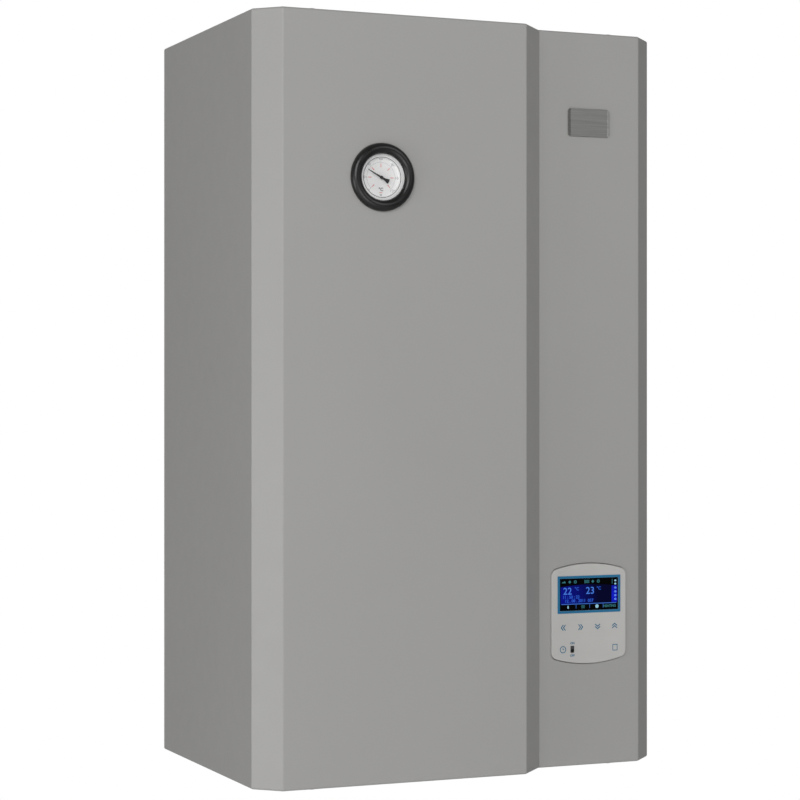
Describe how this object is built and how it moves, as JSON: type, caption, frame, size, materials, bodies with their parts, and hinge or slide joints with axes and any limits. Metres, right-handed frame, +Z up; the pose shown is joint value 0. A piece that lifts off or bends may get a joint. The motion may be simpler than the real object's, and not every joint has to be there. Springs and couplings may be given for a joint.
{
  "type": "electric heating boiler",
  "caption": "Wall-hung electric heating boiler with a folded sheet cover, round thermometer, touch control unit, tank, pump and expansion vessel.",
  "frame": {"origin": "on the wall face of the back plate, at the casing's mid width and mid height", "axes": "+X to the right seen from the front, +Y into the wall, +Z up"},
  "size_m": [0.42, 0.288, 0.7261],
  "materials": {
    "painted_cover": "satin grey powder coat, fine texture",
    "zinc_sheet": "zinc plated sheet",
    "badge": "brushed, bevelled",
    "zinc_screw": "bright zinc",
    "gauge_metal": "satin",
    "black_gloss": "gloss black",
    "dial_white": "printed white",
    "needle_black": "matte black",
    "clear_glass": "clear, polished",
    "copper": "drawn copper, lightly tarnished",
    "stainless": "stainless, weld tinted",
    "foam_jacket": "closed-cell foam",
    "brass": "machined",
    "pump_iron": "painted casting",
    "red_paint": "satin red",
    "red_plastic": "moulded red",
    "black_plastic": "moulded black",
    "membrane": "matte",
    "light_plastic": "moulded warm grey, satin",
    "screen": "dark display window",
    "dark_plastic": "moulded dark grey",
    "terminal_grey": "moulded grey",
    "circuit_board": "solder mask",
    "sink_aluminium": "extruded",
    "wire_black": "wire insulation"
  },
  "bodies": {
    "chassis": {"back_plate": "zinc_sheet", "top_plate": "zinc_sheet", "bottom_plate": "zinc_sheet", "partition": "zinc_sheet", "gauge_case": "gauge_metal", "gauge_bezel": "black_gloss", "gauge_dial": "dial_white", "gauge_glass": "clear_glass", "gauge_bracket": "zinc_sheet", "gauge_capillary": "copper", "heater_tank": "stainless", "tank_jacket": "foam_jacket", "tank_clamps": "zinc_sheet", "heater_head": "brass", "heating_rods": "copper", "star_link": "copper", "drain_valve": "brass", "pump_volute": "pump_iron", "pump_motor": "red_paint", "pump_terminal_box": "black_plastic", "union_nuts": "brass", "riser_pipe": "copper", "flow_pipe": "copper", "return_pipe": "copper", "air_vent": "brass", "safety_valve": "brass", "discharge_pipe": "copper", "vessel_shells": "red_paint", "vessel_membrane": "membrane", "vessel_hose": "stainless", "control_housing": "light_plastic", "control_fascia": "light_plastic", "display_glass": "screen", "control_board": "circuit_board", "din_rail": "zinc_sheet", "mains_terminals": "terminal_grey", "contactor": "black_plastic", "power_board": "circuit_board", "heat_sink": "sink_aluminium", "limiter": "black_plastic", "cable_glands": "black_plastic", "power_wires": "wire_black", "signal_cables": "wire_black"},
    "cover": {"front_cover": "painted_cover", "badge_plate": "badge", "cover_screws": "zinc_screw"},
    "needle": {"gauge_needle": "needle_black"},
    "rotor": {"pump_rotor": "stainless"},
    "speed_knob": {"pump_speed_knob": "red_plastic"},
    "vent_cap": {"air_vent_cap": "black_plastic"},
    "relief_knob": {"safety_knob": "red_plastic"},
    "tap_knob": {"drain_knob": "red_plastic"},
    "reset_button": {"limiter_button": "red_plastic"},
    "left_key": {"key_left": "light_plastic"},
    "right_key": {"key_right": "light_plastic"},
    "down_key": {"key_down": "light_plastic"},
    "up_key": {"key_up": "light_plastic"},
    "clock_key": {"key_clock": "light_plastic"},
    "square_key": {"key_square": "light_plastic"},
    "switch_slider": {"power_switch": "dark_plastic"}
  },
  "joints": [
    {"name": "cover_pull", "type": "slide", "parent": "chassis", "child": "cover", "axis": [0, -1, 0], "range_m": [0, 0.3]},
    {"name": "needle_turn", "type": "hinge", "parent": "chassis", "child": "needle", "pos_m": [-0.092, -0.279, 0.2011], "axis": [0, 1, 0], "range_deg": [-73.2, 196.8], "stiffness_Nm_per_rad": 0.002},
    {"name": "pump_spin", "type": "hinge", "parent": "chassis", "child": "rotor", "pos_m": [-0.132, -0.12, -0.195], "axis": [0, 1, 0], "continuous": true},
    {"name": "speed_knob_turn", "type": "hinge", "parent": "chassis", "child": "speed_knob", "pos_m": [-0.132, -0.166, -0.14], "axis": [0, 1, 0], "range_deg": [-60, 60]},
    {"name": "vent_cap_turn", "type": "hinge", "parent": "chassis", "child": "vent_cap", "pos_m": [-0.074, -0.228, 0.266], "axis": [0, 0, 1], "range_deg": [0, 360]},
    {"name": "relief_knob_turn", "type": "hinge", "parent": "chassis", "child": "relief_knob", "pos_m": [-0.148, -0.228, 0.185], "axis": [0, 0, 1], "range_deg": [0, 90]},
    {"name": "tap_knob_turn", "type": "hinge", "parent": "chassis", "child": "tap_knob", "pos_m": [0.007, -0.2, -0.202], "axis": [0, -1, 0], "range_deg": [0, 360]},
    {"name": "reset_press", "type": "slide", "parent": "chassis", "child": "reset_button", "axis": [0, 1, 0], "range_m": [0, 0.002], "stiffness_N_per_m": 400},
    {"name": "left_key_press", "type": "slide", "parent": "chassis", "child": "left_key", "axis": [0, 1, 0], "range_m": [0, 0.0005], "stiffness_N_per_m": 500},
    {"name": "right_key_press", "type": "slide", "parent": "chassis", "child": "right_key", "axis": [0, 1, 0], "range_m": [0, 0.0005], "stiffness_N_per_m": 500},
    {"name": "down_key_press", "type": "slide", "parent": "chassis", "child": "down_key", "axis": [0, 1, 0], "range_m": [0, 0.0005], "stiffness_N_per_m": 500},
    {"name": "up_key_press", "type": "slide", "parent": "chassis", "child": "up_key", "axis": [0, 1, 0], "range_m": [0, 0.0005], "stiffness_N_per_m": 500},
    {"name": "clock_key_press", "type": "slide", "parent": "chassis", "child": "clock_key", "axis": [0, 1, 0], "range_m": [0, 0.0005], "stiffness_N_per_m": 500},
    {"name": "square_key_press", "type": "slide", "parent": "chassis", "child": "square_key", "axis": [0, 1, 0], "range_m": [0, 0.0005], "stiffness_N_per_m": 500},
    {"name": "switch_slide", "type": "slide", "parent": "chassis", "child": "switch_slider", "axis": [0, 0, 1], "range_m": [-0.003, 0]}
  ]
}
